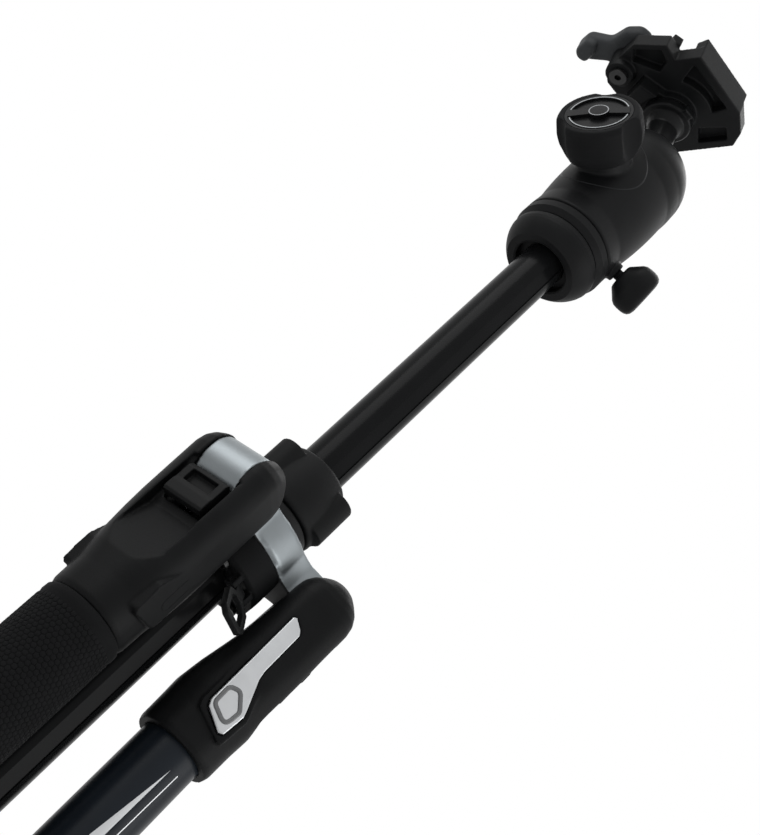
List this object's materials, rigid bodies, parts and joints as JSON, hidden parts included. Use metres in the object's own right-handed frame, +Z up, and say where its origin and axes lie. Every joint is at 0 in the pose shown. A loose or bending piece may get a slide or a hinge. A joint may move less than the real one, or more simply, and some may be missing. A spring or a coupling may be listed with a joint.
{
  "type": "camera tripod",
  "caption": "Travel tripod with twist-lock telescopic legs that fold back, a sliding centre column and a ball head with a lever clamp.",
  "frame": {"origin": "on the floor, on the axis of the centre column, midway between the three rubber feet", "axes": "+Z up along the column, +X out towards leg b, with legs c and a at 120 and 240 degrees counter-clockwise seen from above"},
  "size_m": [0.1202, 0.0996, 0.7189],
  "materials": {
    "casting_black": "fine-textured black powder coat on a casting",
    "crown_silver": "satin silver-grey casting",
    "tube_black": "satin navy-black anodised tube",
    "column_black": "satin black anodised tube",
    "grip_rubber": "black rubber with a low scale relief",
    "lock_rubber": "ribbed black rubber",
    "foot_rubber": "matte black rubber",
    "inlay_silver": "satin silver plate",
    "bolt_steel": "turned steel",
    "spring_steel": "drawn wire",
    "slider_black": "matte black moulding",
    "body_black": "matte black casting",
    "screw_black": "blackened steel",
    "collar_black": "black moulding with a fine grain",
    "end_plastic": "matte black moulding",
    "head_black": "smooth satin black",
    "knob_rubber": "black rubber over a hub",
    "cap_black": "satin black disc",
    "ring_bright": "polished ring",
    "clamp_grey": "matte grey-black",
    "lever_black": "matte grey-black"
  },
  "bodies": {
    "spider": {"spider_crown": "crown_silver", "spider_body": "body_black", "neck_ring": "casting_black", "spider_screws": "screw_black"},
    "hang_loop": {"hang_loop": "bolt_steel"},
    "lock_collar": {"lock_collar": "collar_black"},
    "column": {"column_tube": "column_black", "column_end_cap": "end_plastic", "column_head": "head_black", "pan_base": "head_black"},
    "housing": {"ball_housing": "head_black", "ball_cup": "end_plastic"},
    "ball_knob": {"ball_knob": "knob_rubber", "knob_cap": "cap_black", "knob_ring": "ring_bright"},
    "pan_knob": {"pan_knob": "head_black"},
    "ball": {"ball_stem": "head_black"},
    "clamp": {"clamp_body": "clamp_grey", "lever_pin": "screw_black"},
    "clamp_lever": {"clamp_lever": "lever_black"},
    "leg_a": {"shoulder_a": "casting_black", "hinge_bolt_a": "bolt_steel", "inlay_plate_a": "inlay_silver", "slider_spring_a": "spring_steel", "tube_1_a": "tube_black", "grip_a": "grip_rubber"},
    "slider_a": {"angle_slider_a": "slider_black"},
    "lock_1_a": {"twist_lock_1_a": "lock_rubber"},
    "section_2_a": {"tube_2_a": "tube_black"},
    "lock_2_a": {"twist_lock_2_a": "lock_rubber"},
    "section_3_a": {"tube_3_a": "tube_black"},
    "lock_3_a": {"twist_lock_3_a": "lock_rubber"},
    "section_4_a": {"tube_4_a": "tube_black", "foot_a": "foot_rubber"},
    "leg_b": {"shoulder_b": "casting_black", "hinge_bolt_b": "bolt_steel", "inlay_plate_b": "inlay_silver", "slider_spring_b": "spring_steel", "tube_1_b": "tube_black"},
    "slider_b": {"angle_slider_b": "slider_black"},
    "lock_1_b": {"twist_lock_1_b": "lock_rubber"},
    "section_2_b": {"tube_2_b": "tube_black"},
    "lock_2_b": {"twist_lock_2_b": "lock_rubber"},
    "section_3_b": {"tube_3_b": "tube_black"},
    "lock_3_b": {"twist_lock_3_b": "lock_rubber"},
    "section_4_b": {"tube_4_b": "tube_black", "foot_b": "foot_rubber"},
    "leg_c": {"shoulder_c": "casting_black", "hinge_bolt_c": "bolt_steel", "inlay_plate_c": "inlay_silver", "slider_spring_c": "spring_steel", "tube_1_c": "tube_black"},
    "slider_c": {"angle_slider_c": "slider_black"},
    "lock_1_c": {"twist_lock_1_c": "lock_rubber"},
    "section_2_c": {"tube_2_c": "tube_black"},
    "lock_2_c": {"twist_lock_2_c": "lock_rubber"},
    "section_3_c": {"tube_3_c": "tube_black"},
    "lock_3_c": {"twist_lock_3_c": "lock_rubber"},
    "section_4_c": {"tube_4_c": "tube_black", "foot_c": "foot_rubber"}
  },
  "joints": [
    {"name": "hang_loop_swing", "type": "hinge", "parent": "spider", "child": "hang_loop", "pos_m": [0.01087, -0.01497, 0.3574], "axis": [-0.809, -0.5878, 0], "range_deg": [-60, 40]},
    {"name": "collar_turn", "type": "hinge", "parent": "spider", "child": "lock_collar", "pos_m": [0, 0, 0.4], "axis": [0, 0, 1], "range_deg": [-90, 0]},
    {"name": "column_slide", "type": "slide", "parent": "spider", "child": "column", "axis": [0, 0, 1], "range_m": [-0.15, 0.118]},
    {"name": "head_pan", "type": "hinge", "parent": "column", "child": "housing", "pos_m": [0, 0, 0.59], "axis": [0, 0, 1], "continuous": true},
    {"name": "ball_knob_turn", "type": "hinge", "parent": "housing", "child": "ball_knob", "pos_m": [0, 0, 0.625], "axis": [-0.6691, -0.7431, 0], "range_deg": [-60, 60]},
    {"name": "pan_knob_turn", "type": "hinge", "parent": "housing", "child": "pan_knob", "pos_m": [0, 0, 0.5975], "axis": [0.9903, -0.1392, 0], "range_deg": [-60, 60]},
    {"name": "ball_tilt", "type": "hinge", "parent": "housing", "child": "ball", "pos_m": [0, 0, 0.658], "axis": [0, -1, 0], "range_deg": [-55, 20]},
    {"name": "clamp_turn", "type": "hinge", "parent": "ball", "child": "clamp", "pos_m": [-0.01169, 0, 0.69625], "axis": [-0.2924, 0, 0.9563], "continuous": true},
    {"name": "clamp_lever_turn", "type": "hinge", "parent": "clamp", "child": "clamp_lever", "pos_m": [-0.04522, -0.003, 0.69646], "axis": [-0.2924, 0, 0.9563], "range_deg": [-70, 0]},
    {"name": "leg_fold_a", "type": "hinge", "parent": "spider", "child": "leg_a", "pos_m": [-0.01875, -0.03248, 0.377], "axis": [-0.866, 0.5, 0], "range_deg": [0, 170]},
    {"name": "slider_pull_a", "type": "slide", "parent": "leg_a", "child": "slider_a", "axis": [0, 0, -1], "range_m": [0, 0.005], "stiffness_N_per_m": 600, "springref_m": -0.003, "deforming": ["slider_spring_a"]},
    {"name": "twist_lock_1_a", "type": "hinge", "parent": "leg_a", "child": "lock_1_a", "pos_m": [-0.0175, -0.03031, 0.107], "axis": [0, 0, 1], "range_deg": [-90, 0]},
    {"name": "section_2_slide_a", "type": "slide", "parent": "leg_a", "child": "section_2_a", "axis": [0, 0, -1], "range_m": [0, 0.185]},
    {"name": "twist_lock_2_a", "type": "hinge", "parent": "section_2_a", "child": "lock_2_a", "pos_m": [-0.0175, -0.03031, 0.076], "axis": [0, 0, 1], "range_deg": [-90, 0]},
    {"name": "section_3_slide_a", "type": "slide", "parent": "section_2_a", "child": "section_3_a", "axis": [0, 0, -1], "range_m": [0, 0.185]},
    {"name": "twist_lock_3_a", "type": "hinge", "parent": "section_3_a", "child": "lock_3_a", "pos_m": [-0.0175, -0.03031, 0.045], "axis": [0, 0, 1], "range_deg": [-90, 0]},
    {"name": "section_4_slide_a", "type": "slide", "parent": "section_3_a", "child": "section_4_a", "axis": [0, 0, -1], "range_m": [0, 0.185]},
    {"name": "leg_fold_b", "type": "hinge", "parent": "spider", "child": "leg_b", "pos_m": [0.0375, 0, 0.377], "axis": [0, -1, 0], "range_deg": [0, 170]},
    {"name": "slider_pull_b", "type": "slide", "parent": "leg_b", "child": "slider_b", "axis": [0, 0, -1], "range_m": [0, 0.005], "stiffness_N_per_m": 600, "springref_m": -0.003, "deforming": ["slider_spring_b"]},
    {"name": "twist_lock_1_b", "type": "hinge", "parent": "leg_b", "child": "lock_1_b", "pos_m": [0.035, 0, 0.107], "axis": [0, 0, 1], "range_deg": [-90, 0]},
    {"name": "section_2_slide_b", "type": "slide", "parent": "leg_b", "child": "section_2_b", "axis": [0, 0, -1], "range_m": [0, 0.185]},
    {"name": "twist_lock_2_b", "type": "hinge", "parent": "section_2_b", "child": "lock_2_b", "pos_m": [0.035, 0, 0.076], "axis": [0, 0, 1], "range_deg": [-90, 0]},
    {"name": "section_3_slide_b", "type": "slide", "parent": "section_2_b", "child": "section_3_b", "axis": [0, 0, -1], "range_m": [0, 0.185]},
    {"name": "twist_lock_3_b", "type": "hinge", "parent": "section_3_b", "child": "lock_3_b", "pos_m": [0.035, 0, 0.045], "axis": [0, 0, 1], "range_deg": [-90, 0]},
    {"name": "section_4_slide_b", "type": "slide", "parent": "section_3_b", "child": "section_4_b", "axis": [0, 0, -1], "range_m": [0, 0.185]},
    {"name": "leg_fold_c", "type": "hinge", "parent": "spider", "child": "leg_c", "pos_m": [-0.01875, 0.03248, 0.377], "axis": [0.866, 0.5, 0], "range_deg": [0, 170]},
    {"name": "slider_pull_c", "type": "slide", "parent": "leg_c", "child": "slider_c", "axis": [0, 0, -1], "range_m": [0, 0.005], "stiffness_N_per_m": 600, "springref_m": -0.003, "deforming": ["slider_spring_c"]},
    {"name": "twist_lock_1_c", "type": "hinge", "parent": "leg_c", "child": "lock_1_c", "pos_m": [-0.0175, 0.03031, 0.107], "axis": [0, 0, 1], "range_deg": [-90, 0]},
    {"name": "section_2_slide_c", "type": "slide", "parent": "leg_c", "child": "section_2_c", "axis": [0, 0, -1], "range_m": [0, 0.185]},
    {"name": "twist_lock_2_c", "type": "hinge", "parent": "section_2_c", "child": "lock_2_c", "pos_m": [-0.0175, 0.03031, 0.076], "axis": [0, 0, 1], "range_deg": [-90, 0]},
    {"name": "section_3_slide_c", "type": "slide", "parent": "section_2_c", "child": "section_3_c", "axis": [0, 0, -1], "range_m": [0, 0.185]},
    {"name": "twist_lock_3_c", "type": "hinge", "parent": "section_3_c", "child": "lock_3_c", "pos_m": [-0.0175, 0.03031, 0.045], "axis": [0, 0, 1], "range_deg": [-90, 0]},
    {"name": "section_4_slide_c", "type": "slide", "parent": "section_3_c", "child": "section_4_c", "axis": [0, 0, -1], "range_m": [0, 0.185]}
  ]
}
